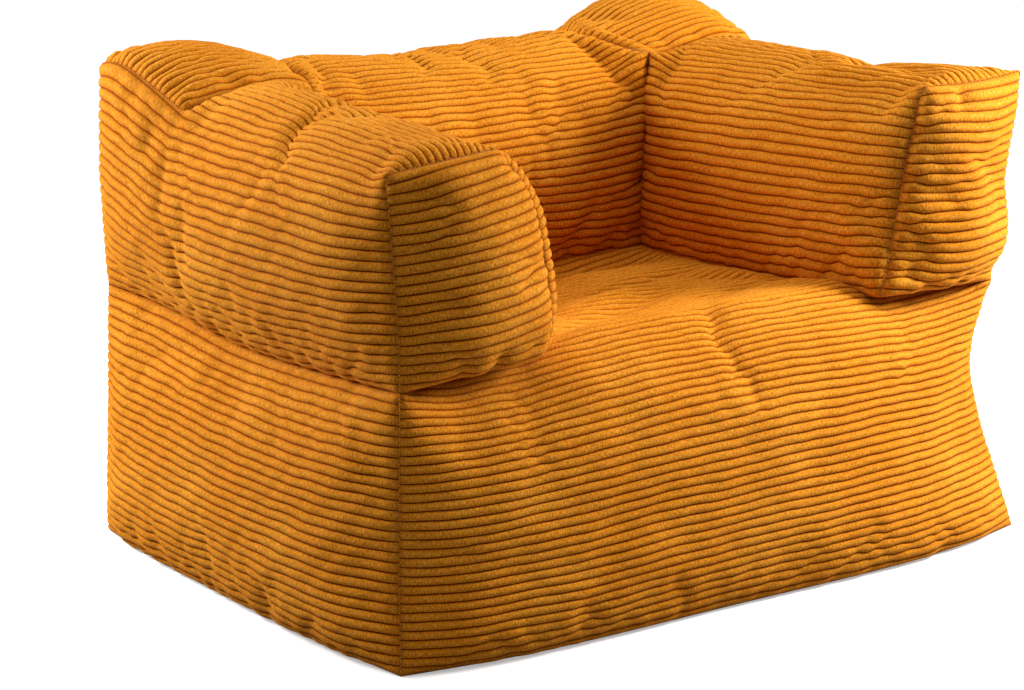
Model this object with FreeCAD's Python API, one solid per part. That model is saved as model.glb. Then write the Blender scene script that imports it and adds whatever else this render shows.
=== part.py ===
"""Bean bag armchair: a corduroy cover over liner bags of polystyrene beads.

Millimetres. +Z is up, -Y is the front of the seat, and the origin is on the floor at the
centre of the outline. Four stuffed chambers make the chair: a base that spreads towards
the floor, two arms that run the full depth, and a backrest that stands between the arms.
Each chamber is a block bounded by six planes, so that the cover, the liner and the filling
are the same block taken in by different amounts, and each cover panel is the share of the
block's skin that lies behind one face. The zips are drawn flat, in the frame of the base's
rear wall, and then laid on the wall.
"""
import FreeCAD, Part
import math
import os

V = FreeCAD.Vector

# The base
foot_width = 1070.0          # on the floor, side to side
foot_depth = 850.0
base_top_width = 980.0
base_top_depth = 770.0
base_height = 360.0          # floor to the seam under the arms
base_corner_radius = 110.0   # the four upright corners
base_edge_radius = 40.0      # the rim of the seat

# The arms and the backrest
ring_width = 1010.0          # outside of the arms
ring_depth = 776.0           # front of the arms to rear of the backrest
arm_front_height = 642.0     # floor to the top of an arm at its front
arm_rear_height = 685.0
back_height = 662.0
arm_foot_width = 225.0       # where an arm stands on the base
arm_top_width = 180.0
arm_edge_radius = 34.0
back_foot_thickness = 235.0
back_top_thickness = 205.0
back_edge_radius = 34.0

# Cloth
cover_cloth = 3.0            # corduroy with its backing
liner_cloth = 1.0
ease = 0.5                   # room between the cover, the liner and the filling
seam_mitre = 60.0            # how deep the seam planes run in from the edges

# Both zips: flat tapes with a coil row along each inner edge
zip_height = 70.0            # up the rear wall from the floor to the middle of the zips
cover_zip_length = 800.0
liner_zip_length = 600.0
slot_height = 16.0           # opening in the cloth over a zip
tape_thickness = 0.8
tape_overlap = 6.0           # tape sewn behind the cloth on each side of the slot
coil_width = 2.4
coil_thickness = 2.6
coil_gap = 1.4               # between the two rows, where the slider's web passes
zip_play = 0.4               # slider to coil and slider to tape
stop_length = 5.0
slider_length = 12.0
slider_plate = 1.2
slider_lip = 1.0
web_length = 4.0
web_thickness = 0.6
slider_parking_gap = 1.0     # closed slider to its end stop
cover_channel_depth = 20.0   # hollow in the liner behind the cover's zip
liner_channel_depth = 8.0    # hollow in the filling behind the liner's zip
channel_margin = 4.0         # hollow beyond the tapes and the stops

# Pull tab on the cover's slider
bail_radius = 0.7
eye_radius = 2.0
pull_play = 0.3              # eye to bail, and eye to the slider's plate
eye_length = 5.0
bail_leg = 1.2
pull_length = 26.0
pull_width = 6.0
pull_thickness = 1.2

# Care label, sewn flat above the zip
label_length = 45.0
label_height = 25.0
label_thickness = 0.6
label_rise = 30.0            # slot's upper edge to the label's lower edge
label_from_middle = 330.0

os.makedirs("parts", exist_ok=True)


def save(name, shape):
    shape.exportStep("parts/%s.step" % name)


def box(low, high):
    return Part.makeBox(high.x - low.x, high.y - low.y, high.z - low.z, low)


class Block:
    """A six-sided block. faces maps left, right, front, rear, bottom and top to a plane,
    which is an outward direction and a point on the plane."""

    ends = ("left", "right"), ("front", "rear"), ("bottom", "top")

    def __init__(self, faces, edge_radius):
        self.faces = {name: (V(out).normalize(), point) for name, (out, point) in faces.items()}
        self.edge_radius = edge_radius

    def lies_on(self, name, edge, shrink):
        out, point = self.faces[name]
        return abs(out.dot(edge.CenterOfMass - point) + shrink) < 0.01

    def corner(self, names, shrink):
        """Where three of the planes meet, each moved inwards by shrink."""
        (a, pa), (b, pb), (c, pc) = (self.faces[name] for name in names)
        da, db, dc = a.dot(pa) - shrink, b.dot(pb) - shrink, c.dot(pc) - shrink
        return (b.cross(c) * da + c.cross(a) * db + a.cross(b) * dc) * (1 / a.dot(b.cross(c)))

    def face_corners(self, name, shrink):
        """The four corners of one face, in order round it."""
        first, second = [pair for pair in self.ends if name not in pair]
        turn = ((0, 0), (1, 0), (1, 1), (0, 1))
        return [self.corner((name, first[i], second[j]), shrink) for i, j in turn]

    def sharp_solid(self, shrink):
        faces = []
        for name in self.faces:
            points = self.face_corners(name, shrink)
            faces.append(Part.Face(Part.makePolygon(points + points[:1])))
        return Part.Solid(Part.Shell(faces))

    def solid(self, shrink=0.0):
        """The block taken in by shrink, with every edge rounded."""
        solid = self.sharp_solid(shrink)
        return solid.makeFillet(self.edge_radius - shrink, solid.Edges)

    def behind(self, name):
        """The wedge behind one face, mitred towards its neighbours."""
        outer = self.face_corners(name, 0.0)
        inner = self.face_corners(name, seam_mitre)
        rings = [Part.makePolygon(points + points[:1]) for points in (outer, inner)]
        return Part.makeLoft(rings, True, True)


class StandingBlock(Block):
    """A block that stands flat on the floor: its uprights have a radius of their own, and
    its bottom edges are sharp."""

    def __init__(self, faces, edge_radius, corner_radius):
        super().__init__(faces, edge_radius)
        self.corner_radius = corner_radius

    def solid(self, shrink=0.0):
        solid = self.sharp_solid(shrink)
        uprights = [edge for edge in solid.Edges
                    if not any(self.lies_on(end, edge, shrink) for end in ("bottom", "top"))]
        solid = solid.makeFillet(self.corner_radius - shrink, uprights)
        rim = [edge for edge in solid.Edges if self.lies_on("top", edge, shrink)]
        return solid.makeFillet(self.edge_radius - shrink, rim)


def plane(out, point):
    return V(*out), V(*point)


def inner_arm_plane(side):
    """The slanted plane between an arm and the backrest: where it is, and which way it
    faces out of the arm."""
    lean = arm_foot_width - arm_top_width
    rise = arm_rear_height - base_height
    return V(-side * rise, 0, lean), V(side * (ring_width / 2 - arm_foot_width), 0, base_height)


def base_block(floor=0.0):
    side_spread = (foot_width - base_top_width) / 2
    front_spread = (foot_depth - base_top_depth) / 2
    return StandingBlock({
        "left": plane((-base_height, 0, side_spread), (-foot_width / 2, 0, 0)),
        "right": plane((base_height, 0, side_spread), (foot_width / 2, 0, 0)),
        "front": plane((0, -base_height, front_spread), (0, -foot_depth / 2, 0)),
        "rear": plane((0, base_height, front_spread), (0, foot_depth / 2, 0)),
        "bottom": plane((0, 0, -1), (0, 0, floor)),
        "top": plane((0, 0, 1), (0, 0, base_height)),
    }, base_edge_radius, base_corner_radius)


def arm_block(side):
    inner = inner_arm_plane(side)
    outer = plane((side, 0, 0), (side * ring_width / 2, 0, 0))
    climb = arm_rear_height - arm_front_height
    return Block({
        "left": outer if side < 0 else inner,
        "right": inner if side < 0 else outer,
        "front": plane((0, -1, 0), (0, -ring_depth / 2, 0)),
        "rear": plane((0, 1, 0), (0, ring_depth / 2, 0)),
        "bottom": plane((0, 0, -1), (0, 0, base_height)),
        "top": plane((0, -climb, ring_depth), (0, -ring_depth / 2, arm_front_height)),
    }, arm_edge_radius)


def back_block():
    sides = {}
    for side, name in ((-1, "left"), (1, "right")):
        out, point = inner_arm_plane(side)
        sides[name] = (out * -1, point)
    lean = back_foot_thickness - back_top_thickness
    return Block({
        **sides,
        "front": plane((0, -(back_height - base_height), lean),
                       (0, ring_depth / 2 - back_foot_thickness, base_height)),
        "rear": plane((0, 1, 0), (0, ring_depth / 2, 0)),
        "bottom": plane((0, 0, -1), (0, 0, base_height)),
        "top": plane((0, 0, 1), (0, 0, back_height)),
    }, back_edge_radius)


def carve(skin, cuts, rest):
    """Cuts panels out of a skin one after the other. What is left gets the name rest."""
    panels = {}
    for name, cutter in cuts:
        panels[name] = skin.common(cutter)
        skin = skin.cut(cutter)
    panels[rest] = skin
    return panels


def skin_of(block):
    return block.solid().cut(block.solid(cover_cloth))


class Zip:
    """A zip that closes a slot in a cloth parallel to the rear wall, drawn in the wall's
    frame: X along the wall, Y out of it and Z up it, from the point of its outer face at
    the zip's height. cloth_inside is where the cloth's inner face lies, and the tapes are
    sewn behind it."""

    def __init__(self, length, cloth_inside):
        self.length = length
        self.middle = cloth_inside - tape_thickness / 2
        self.row = coil_gap / 2 + coil_width          # zip's middle to a coil row's far side
        self.plate_inside = coil_thickness / 2 + zip_play
        self.plate_outside = self.plate_inside + slider_plate
        self.parked = length / 2 - slider_parking_gap - slider_length / 2

    def strip(self, half_length, low, high, back, front):
        """A bar along the zip: low to high above its middle line, back to front of its
        middle plane."""
        return box(V(-half_length, self.middle + back, low),
                   V(half_length, self.middle + front, high))

    def both_rows(self, low, high, back, front, half_length):
        return {
            "upper": self.strip(half_length, low, high, back, front),
            "lower": self.strip(half_length, -high, -low, back, front),
        }

    def slot(self, cloth):
        """What is cut out of the cloth over the zip."""
        return self.strip(self.length / 2 + stop_length, -slot_height / 2, slot_height / 2,
                          -tape_thickness, cloth + tape_thickness)

    def tapes(self):
        return self.both_rows(self.row, slot_height / 2 + tape_overlap, -tape_thickness / 2,
                              tape_thickness / 2, self.length / 2 + stop_length)

    def coils(self):
        rows = self.both_rows(coil_gap / 2, self.row, -coil_thickness / 2,
                              coil_thickness / 2, self.length / 2)
        rounding = coil_gap / 2
        return {row: bar.makeFillet(rounding, [e for e in bar.Edges if e.Length > coil_width * 2])
                for row, bar in rows.items()}

    def stops(self):
        """A moulded block across both coil rows' ends, on the tapes' outer face."""
        reach = self.row + slider_lip
        stops = []
        for end in (-1, 1):
            near = end * (self.length / 2)
            far = end * (self.length / 2 + stop_length)
            stops.append(box(V(min(near, far), self.middle + tape_thickness / 2, -reach),
                             V(max(near, far), self.middle + coil_thickness / 2, reach)))
        return Part.makeCompound(stops)

    def slider(self):
        """Two plates joined by a web, with lips that keep the coils in."""
        half = slider_length / 2
        reach = self.row + zip_play + slider_lip
        lip_gap = tape_thickness / 2 + zip_play
        body = self.strip(web_length / 2, -web_thickness / 2, web_thickness / 2,
                          -self.plate_inside, self.plate_inside)
        for back, front in ((-self.plate_outside, -self.plate_inside),
                            (self.plate_inside, self.plate_outside)):
            body = body.fuse(self.strip(half, -reach, reach, back, front))
        for back, front in ((-self.plate_outside, -lip_gap), (lip_gap, self.plate_outside)):
            for lip in self.both_rows(reach - slider_lip, reach, back, front, half).values():
                body = body.fuse(lip)
        return body.removeSplitter()

    @property
    def bail_middle(self):
        """How far the bail's bar stands in front of the zip's middle plane."""
        return self.plate_outside + pull_play + eye_radius

    def bail(self):
        """A bar along the zip on two legs, which the pull's eye turns on."""
        inside = eye_length / 2 + zip_play
        height = self.middle + self.bail_middle
        bar = Part.makeCylinder(bail_radius, 2 * (inside + bail_leg),
                                V(-inside - bail_leg, height, 0), V(1, 0, 0))
        for side in (-1, 1):
            near, far = side * inside, side * (inside + bail_leg)
            bar = bar.fuse(box(V(min(near, far), self.middle + self.plate_outside, -bail_leg),
                               V(max(near, far), height + bail_leg, bail_leg)))
        return bar

    def pull(self):
        """A tab with a rolled eye round the bail."""
        height = self.middle + self.bail_middle
        start = V(-eye_length / 2, height, 0)
        eye = Part.makeCylinder(eye_radius, eye_length, start, V(1, 0, 0))
        shoulder = -eye_radius - bail_leg

        def flat(half_width, low, high):
            return box(V(-half_width, height - pull_thickness / 2, low),
                       V(half_width, height + pull_thickness / 2, high))

        tab = flat(pull_width / 2, -pull_length, shoulder)
        corners = [edge for edge in tab.Edges if edge.CenterOfMass.z == -pull_length
                   and edge.Length < pull_width]
        tab = tab.makeFillet(pull_width / 2 - bail_radius, corners)
        neck = flat(eye_length / 2, shoulder, 0)
        bore = Part.makeCylinder(bail_radius + pull_play, eye_length, start, V(1, 0, 0))
        return eye.fuse(neck).fuse(tab).cut(bore).removeSplitter()

    def channel(self, channel_depth, grow):
        """The hollow behind the zip, made larger by grow on every side."""
        half = self.length / 2 + stop_length + channel_margin + grow
        reach = slot_height / 2 + tape_overlap + channel_margin + grow
        return self.strip(half, -reach, reach, -channel_depth - grow, channel_depth)

    def park(self, shape):
        shape.translate(V(self.parked, 0, 0))
        return shape


base = base_block()
arms = {"left": arm_block(-1), "right": arm_block(1)}
back = back_block()

cover_zip = Zip(cover_zip_length, -cover_cloth)
channel_floor = cover_zip.middle - cover_channel_depth
liner_zip = Zip(liner_zip_length, channel_floor - liner_cloth)
liner_shrink = cover_cloth + ease
filling_shrink = liner_shrink + liner_cloth + ease


def on_rear_wall(shape):
    """Lays a shape that is drawn in the rear wall's frame on the wall."""
    out, foot = base.faces["rear"]
    up = V(0, -out.z, out.y)
    lean = FreeCAD.Rotation(V(1, 0, 0), math.degrees(math.asin(out.z)))
    shape.Placement = FreeCAD.Placement(foot + up * zip_height, lean) * shape.Placement
    return shape


def build_base():
    """The base's cover, liner and filling, with the hollows behind the two zips. The walls'
    panels run straight down to the floor layer, so their wedges come from a deeper block."""
    slot = on_rear_wall(cover_zip.slot(cover_cloth))
    floor_layer = box(V(-foot_width, -foot_depth, 0), V(foot_width, foot_depth, cover_cloth))
    deeper = base_block(-seam_mitre)
    panels = carve(skin_of(base), [
        ("base_bottom_panel", floor_layer),
        ("base_left_panel", deeper.behind("left")),
        ("base_right_panel", deeper.behind("right")),
        ("base_rear_panel", deeper.behind("rear")),
    ], "seat_and_front_panel")
    panels["base_rear_panel"] = panels["base_rear_panel"].cut(slot)
    for name, panel in panels.items():
        save(name, panel)

    def hollowed(shrink, grow):
        channel = on_rear_wall(cover_zip.channel(cover_channel_depth, grow))
        return base.solid(shrink).cut(channel)

    liner = hollowed(liner_shrink, 0.0).cut(hollowed(liner_shrink + liner_cloth, liner_cloth))
    save("base_liner", liner.cut(on_rear_wall(liner_zip.slot(liner_cloth))))
    filling = hollowed(filling_shrink, liner_cloth + ease)
    channel = on_rear_wall(liner_zip.channel(liner_channel_depth, 0.0))
    save("base_filling", filling.cut(channel))


def build_stuffing(name, block):
    """The liner bag and the filling of a chamber that is sewn shut."""
    save(name + "_liner", block.solid(liner_shrink).cut(block.solid(liner_shrink + liner_cloth)))
    save(name + "_filling", block.solid(filling_shrink))


def build_arm(hand):
    """An arm's cover: the wrap over its outer side, top and inner side, its two ends, the
    foot that is sewn to the base, and the square that closes the top behind the wrap."""
    arm = arms[hand]
    back_front = ring_depth / 2 - back_top_thickness
    rear_part = box(V(-ring_width, back_front, base_height),
                    V(ring_width, ring_depth, 2 * arm_rear_height))
    panels = carve(skin_of(arm), [
        (hand + "_arm_front_panel", arm.behind("front")),
        (hand + "_arm_rear_panel", arm.behind("rear")),
        (hand + "_arm_foot_panel", arm.behind("bottom")),
        (hand + "_corner_top_panel", arm.behind("top").common(rear_part)),
    ], hand + "_arm_wrap_panel")
    for name, panel in panels.items():
        save(name, panel)
    build_stuffing(hand + "_arm", arm)


def build_back():
    """The backrest's cover: the wrap up its front and over its top, its rear, its foot and
    the two sides that are sewn to the arms."""
    panels = carve(skin_of(back), [
        ("back_rear_panel", back.behind("rear")),
        ("back_foot_panel", back.behind("bottom")),
        ("back_left_side_panel", back.behind("left")),
        ("back_right_side_panel", back.behind("right")),
    ], "back_wrap_panel")
    for name, panel in panels.items():
        save(name, panel)
    build_stuffing("back", back)


def build_zip(name, zip_, with_pull):
    for row, tape in zip_.tapes().items():
        save("%s_%s_tape" % (name, row), on_rear_wall(tape))
    for row, coil in zip_.coils().items():
        save("%s_%s_coil" % (name, row), on_rear_wall(coil))
    save(name + "_end_stops", on_rear_wall(zip_.stops()))
    slider = zip_.slider()
    if with_pull:
        slider = slider.fuse(zip_.bail()).removeSplitter()
        save(name + "_pull", on_rear_wall(zip_.park(zip_.pull())))
    save(name + "_slider", on_rear_wall(zip_.park(slider)))


def build_care_label():
    low = slot_height / 2 + label_rise
    middle = -label_from_middle
    label = box(V(middle - label_length / 2, 0, low),
                V(middle + label_length / 2, label_thickness, low + label_height))
    save("care_label", on_rear_wall(label))


build_base()
for hand in arms:
    build_arm(hand)
build_back()
build_zip("cover_zip", cover_zip, with_pull=True)
build_zip("liner_zip", liner_zip, with_pull=False)
build_care_label()
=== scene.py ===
"""A bean bag armchair in wide-wale corduroy, dressed over its CAD frame.

Every cover panel is one piece: a sheet between its seams, inflated and creased by a cloth
simulation, then raised into wales, and given its cloth's thickness. Seams are drawn in
shares of the CAD boxes. Lengths are in metres.
"""
import math
import bmesh
import bpy
import numpy as np
from mathutils import Matrix, Quaternion, Vector


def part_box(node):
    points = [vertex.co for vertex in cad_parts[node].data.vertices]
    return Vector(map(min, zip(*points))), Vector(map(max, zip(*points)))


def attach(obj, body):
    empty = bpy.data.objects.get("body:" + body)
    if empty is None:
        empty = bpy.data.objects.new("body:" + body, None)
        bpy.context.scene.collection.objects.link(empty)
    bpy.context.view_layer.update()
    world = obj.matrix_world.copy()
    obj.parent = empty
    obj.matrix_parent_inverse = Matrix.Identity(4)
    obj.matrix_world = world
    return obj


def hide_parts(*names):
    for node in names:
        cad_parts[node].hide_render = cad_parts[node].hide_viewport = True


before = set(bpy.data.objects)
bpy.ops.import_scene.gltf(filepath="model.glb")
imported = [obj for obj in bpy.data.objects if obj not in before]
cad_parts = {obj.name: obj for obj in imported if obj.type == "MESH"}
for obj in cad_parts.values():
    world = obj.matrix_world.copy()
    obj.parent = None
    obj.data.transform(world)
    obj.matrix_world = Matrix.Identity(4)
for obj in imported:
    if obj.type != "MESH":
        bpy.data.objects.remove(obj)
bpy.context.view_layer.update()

# ---------------------------------------------------------------- driving sizes

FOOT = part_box("base_bottom_panel")[1]            # half the base's width and depth
SEAM_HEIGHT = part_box("left_arm_foot_panel")[0].z
RING = Vector((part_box("right_arm_wrap_panel")[1].x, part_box("left_arm_rear_panel")[1].y,
               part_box("left_corner_top_panel")[1].z))
CLOTH = 0.003
WALE = 0.0130                                    # pitch of the corduroy
WALE_HEIGHT = 0.0042
ALONG = 0.011                                    # mesh step along a wale
# Where a wale's vertices lie across it, and how high each one stands
WALE_STEPS = (0.0, 0.07, 0.25, 0.5, 0.75, 0.93)
WALE_PROFILE = (0.0, 0.55, 0.92, 1.0, 0.92, 0.55)


def base_point(x, y, z):
    """A point in shares of the base: half its width, half its depth and its height."""
    return np.array((x * FOOT.x, y * FOOT.y, z * SEAM_HEIGHT))


def ring_point(x, y, z):
    """A point in shares of the ring of arms and backrest. z runs from the seam up."""
    return np.array((x * RING.x, y * RING.y, SEAM_HEIGHT + z * (RING.z - SEAM_HEIGHT)))


# ---------------------------------------------------------------- curves and sheets

def spline(points, at):
    """The natural cubic spline through points, at the given shares of its chord length."""
    points = np.array(points, float)
    chords = np.linalg.norm(np.diff(points, axis=0), axis=1)
    knots = np.concatenate(([0.0], np.cumsum(chords))) / chords.sum()
    n = len(points)
    h = np.diff(knots)
    system = np.eye(n)
    right = np.zeros_like(points)
    for i in range(1, n - 1):
        system[i, i - 1:i + 2] = h[i - 1], 2 * (h[i - 1] + h[i]), h[i]
        slope = np.diff(points[i - 1:i + 2], axis=0) / h[i - 1:i + 1, None]
        right[i] = 6 * (slope[1] - slope[0])
    bend = np.linalg.solve(system, right)
    k = np.clip(np.searchsorted(knots, at, side="right") - 1, 0, n - 2)
    step = h[k][:, None]
    a = (knots[k + 1] - at)[:, None] / step
    b = 1 - a
    return (a * points[k] + b * points[k + 1]
            + ((a ** 3 - a) * bend[k] + (b ** 3 - b) * bend[k + 1]) * step ** 2 / 6)


def evenly(line, count):
    """A dense line's points, re-spaced to count equal steps."""
    reach = np.concatenate(([0.0], np.cumsum(np.linalg.norm(np.diff(line, axis=0), axis=1))))
    at = np.linspace(0, reach[-1], count + 1)
    return np.stack([np.interp(at, reach, line[:, axis]) for axis in range(3)], axis=1)


def curve(points, count):
    """A smooth line through points, in count equal steps."""
    return evenly(spline(points, np.linspace(0, 1, 400)), count)


def chain(*lines):
    """Several lines end to end, as one."""
    return np.concatenate([lines[0]] + [line[1:] for line in lines[1:]])


def between(bottom, top, left, right):
    """The sheet spanned by four seams. Its rows run along the bottom seam."""
    u = np.linspace(0, 1, len(bottom))[None, :, None]
    v = np.linspace(0, 1, len(left))[:, None, None]
    across = (1 - u) * left[:, None] + u * right[:, None]
    along = (1 - v) * bottom[None] + v * top[None]
    corners = ((1 - v) * ((1 - u) * bottom[0] + u * bottom[-1])
               + v * ((1 - u) * top[0] + u * top[-1]))
    return along + across - corners


def normals_of(grid, outward):
    """Unit normals of a sheet, turned to the side that the direction outward points to."""
    normal = np.cross(np.gradient(grid, axis=1), np.gradient(grid, axis=0))
    normal /= np.maximum(np.linalg.norm(normal, axis=2, keepdims=True), 1e-12)
    middle = tuple(n // 2 for n in grid.shape[:2])
    if normal[middle] @ np.array(outward) < 0:
        normal = -normal
    return normal


def puffed(grid, outward, amount, reach=0.035, reach_up=0.02):
    """The sheet, bulged by amount. reach and reach_up are how far from its side seams, and
    from its lower and upper seams, the bulge takes to rise."""
    u = np.linspace(0, 1, grid.shape[1])[None, :, None]
    v = np.linspace(0, 1, grid.shape[0])[:, None, None]
    wide = np.linalg.norm(np.diff(grid, axis=1), axis=2).sum(axis=1).mean()
    high = np.linalg.norm(np.diff(grid, axis=0), axis=2).sum(axis=0).mean()
    shape = 1 - np.exp(-np.minimum(u, 1 - u) * wide / reach)
    shape = shape * (1 - np.exp(-np.minimum(v, 1 - v) * high / reach_up))
    return grid + normals_of(grid, outward) * shape * amount


def rolled(grid, row, times, reach=None):
    """Rounds a sheet's sharp bend at one row by smoothing across it, and keeps its edges."""
    out = grid.copy()
    count = grid.shape[0]
    reach = reach or times
    near = np.exp(-((np.arange(count) - row) / reach) ** 2)[:, None, None]
    u = np.linspace(0, 1, grid.shape[1])[None, :, None]
    inside = np.clip(np.minimum(u, 1 - u) * 12, 0, 1)
    for _ in range(times):
        mean = out.copy()
        mean[1:-1] = (out[:-2] + 2 * out[1:-1] + out[2:]) / 4
        out = out + (mean - out) * near * inside
    return out


# ---------------------------------------------------------------- seams

# Simulation cells: up a base wall, where each is one wale high, and along a side in front
# of the backrest and beside it; across the front, up and over an arm, and across the back
WALL, DEEP_FRONT, DEEP_REAR = 27, 34, 14
SIDE = DEEP_FRONT + DEEP_REAR
FRONT, ARM_UP, ARM_OVER, MIDDLE = 64, 18, 13, 34


FLOOR_CLEAR = 0.003                              # the base's edge over the floor, as a share
BACK_START = 0.394                               # where the backrest starts along an arm
BASE_REACH, RING_REACH = 0.055, 0.03             # over which a panel's bulge rises


def base_curve(count, *points):
    """A seam through points in shares of the base."""
    return curve([base_point(*point) for point in points], count)


def foot_curve(count, *points):
    """A seam along the floor, through points that give x and y."""
    return base_curve(count, *((x, y, FLOOR_CLEAR) for x, y in points))


class BaseSeams:
    """The seams of the base: where it meets the floor, its corners, and the crease under
    the ring."""

    foot_front = foot_curve(FRONT, (-0.944, -0.894), (-0.70, -0.950), (0, -0.985),
                            (0.70, -0.975), (0.965, -0.906))
    foot_left = foot_curve(SIDE, (-0.944, -0.894), (-0.973, -0.47), (-0.978, 0),
                           (-0.973, 0.47), (-0.953, 0.894))
    foot_right = foot_curve(SIDE, (0.965, -0.906), (0.980, -0.47), (0.978, 0),
                            (0.970, 0.47), (0.944, 0.906))
    foot_rear = foot_curve(FRONT, (-0.953, 0.894), (-0.80, 0.975), (-0.56, 0.999), (0, 1.0),
                           (0.56, 0.999), (0.80, 0.98), (0.944, 0.906))
    corner_front_left = base_curve(
        WALL, (-0.944, -0.894, FLOOR_CLEAR), (-0.940, -0.889, 0.28), (-0.933, -0.889, 0.64),
        (-0.923, -0.885, 0.99))
    corner_front_right = base_curve(
        WALL, (0.965, -0.906, FLOOR_CLEAR), (0.925, -0.878, 0.20), (0.866, -0.850, 0.50),
        (0.850, -0.840, 0.72), (0.905, -0.862, 0.99))
    corner_rear_left = base_curve(
        WALL, (-0.953, 0.894, FLOOR_CLEAR), (-0.944, 0.882, 0.33), (-0.935, 0.875, 0.69),
        (-0.927, 0.875, 1.0))
    corner_rear_right = base_curve(
        WALL, (0.944, 0.906, FLOOR_CLEAR), (0.915, 0.882, 0.28), (0.878, 0.85, 0.6),
        (0.875, 0.85, 0.78), (0.907, 0.87, 1.0))
    crease_left = base_curve(
        SIDE, (-0.923, -0.885, 0.99), (-0.885, -0.45, 0.945), (-0.875, 0.12, 0.925),
        (-0.88, 0.55, 0.965), (-0.927, 0.875, 1.0))
    crease_right = base_curve(
        SIDE, (0.905, -0.862, 0.99), (0.875, -0.45, 0.95), (0.865, 0.12, 0.93),
        (0.875, 0.55, 0.96), (0.907, 0.87, 1.0))
    crease_rear = base_curve(
        FRONT, (-0.927, 0.875, 1.0), (-0.45, 0.845, 0.97), (0, 0.84, 0.96),
        (0.45, 0.845, 0.97), (0.907, 0.87, 1.0))
    rim = base_curve(
        FRONT, (-0.923, -0.885, 0.99), (-0.62, -0.90, 0.985), (-0.40, -0.93, 1.02),
        (0, -0.94, 1.05), (0.40, -0.93, 1.02), (0.62, -0.89, 0.985), (0.905, -0.862, 0.99))


class ArmSeams:
    """The seams of one arm. side is -1 for the left arm and 1 for the right one."""

    def __init__(self, side, crease, front_outer, front_top, front_inner, rear_inner, domed,
                 belly):
        def at(x, y, z):
            return ring_point(side * x, y, z)

        self.side = side
        self.belly = belly
        self.foot_outer = crease
        outer = curve([crease[0]] + [at(*p) for p in front_outer], ARM_UP)
        top = curve([outer[-1]] + [at(*p) for p in front_top], ARM_OVER)
        inner = curve([top[-1]] + [at(*p) for p in front_inner], ARM_UP)
        self.front_outer, self.front_top, self.front_inner = outer, top, inner
        join_outer = at(0.960, BACK_START, 0.835)
        join_inner = at(rear_inner, BACK_START, 0.850)
        self.top_outer = curve([outer[-1], at(0.985, -0.55, 0.845), at(0.965, 0, 0.845),
                                join_outer], DEEP_FRONT)
        self.patch_outer = curve([join_outer, at(0.968, 0.62, 0.925), at(0.970, 0.85, 0.975),
                                  at(0.965, 0.965, 0.955)], DEEP_REAR)
        self.patch_front = curve([join_outer] + [at(*p) for p in domed["front"]]
                                 + [join_inner], ARM_OVER)
        self.patch_inner = curve([join_inner] + [at(*p) for p in domed["inner"]]
                                 + [at(0.525, 0.960, 0.82)], DEEP_REAR)
        self.patch_rear = curve([self.patch_outer[-1], at(0.74, 0.985, 0.955),
                                 self.patch_inner[-1]], ARM_OVER)
        self.back_side = curve([join_inner, at(rear_inner - 0.01, 0.405, 0.45),
                                at(0.545, 0.405, -0.06)], ARM_UP)
        self.foot_inner = curve([inner[-1], at(0.55, -0.30, -0.055),
                                 self.back_side[-1]], DEEP_FRONT)
        self.rear_outer = curve([crease[-1], at(0.985, 0.955, 0.45),
                                 self.patch_outer[-1]], ARM_UP)
        self.rear_inner = curve([self.patch_inner[-1], at(0.525, 0.985, 0.45),
                                 at(0.53, 0.935, 0.0)], ARM_UP)
        self.side_foot = curve([self.back_side[-1], self.rear_inner[-1]], DEEP_REAR)


left_seams = ArmSeams(
    -1, BaseSeams.crease_left,
    front_outer=((0.985, -0.985, 0.17), (0.995, -0.985, 0.5), (1.003, -0.975, 0.822)),
    front_top=((0.86, -1.000, 0.850), (0.70, -0.995, 0.868)),
    front_inner=((0.610, -1.000, 0.652), (0.570, -1.000, 0.42), (0.556, -1.0, 0.2),
                 (0.564, -0.985, 0.035)),
    rear_inner=0.56,
    domed={"front": ((0.79, BACK_START, 0.872), (0.64, BACK_START, 0.88)),
           "inner": ((0.53, 0.70, 0.88),)},
    belly=0.032)
right_seams = ArmSeams(
    1, BaseSeams.crease_right,
    front_outer=((0.965, -0.935, 0.02), (0.995, -0.95, 0.12), (1.002, -0.94, 0.4),
                 (1.035, -0.935, 0.66), (1.062, -0.925, 0.872)),
    front_top=((0.87, -0.955, 0.858), (0.69, -0.955, 0.868)),
    front_inner=((0.632, -0.955, 0.566), (0.583, -0.955, 0.22), (0.549, -0.955, 0.004)),
    rear_inner=0.57,
    domed={"front": ((0.81, 0.40, 0.85), (0.66, 0.40, 0.812)), "inner": ((0.49, 0.62, 0.87),)},
    belly=0.009)


# ---------------------------------------------------------------- panels

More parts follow.
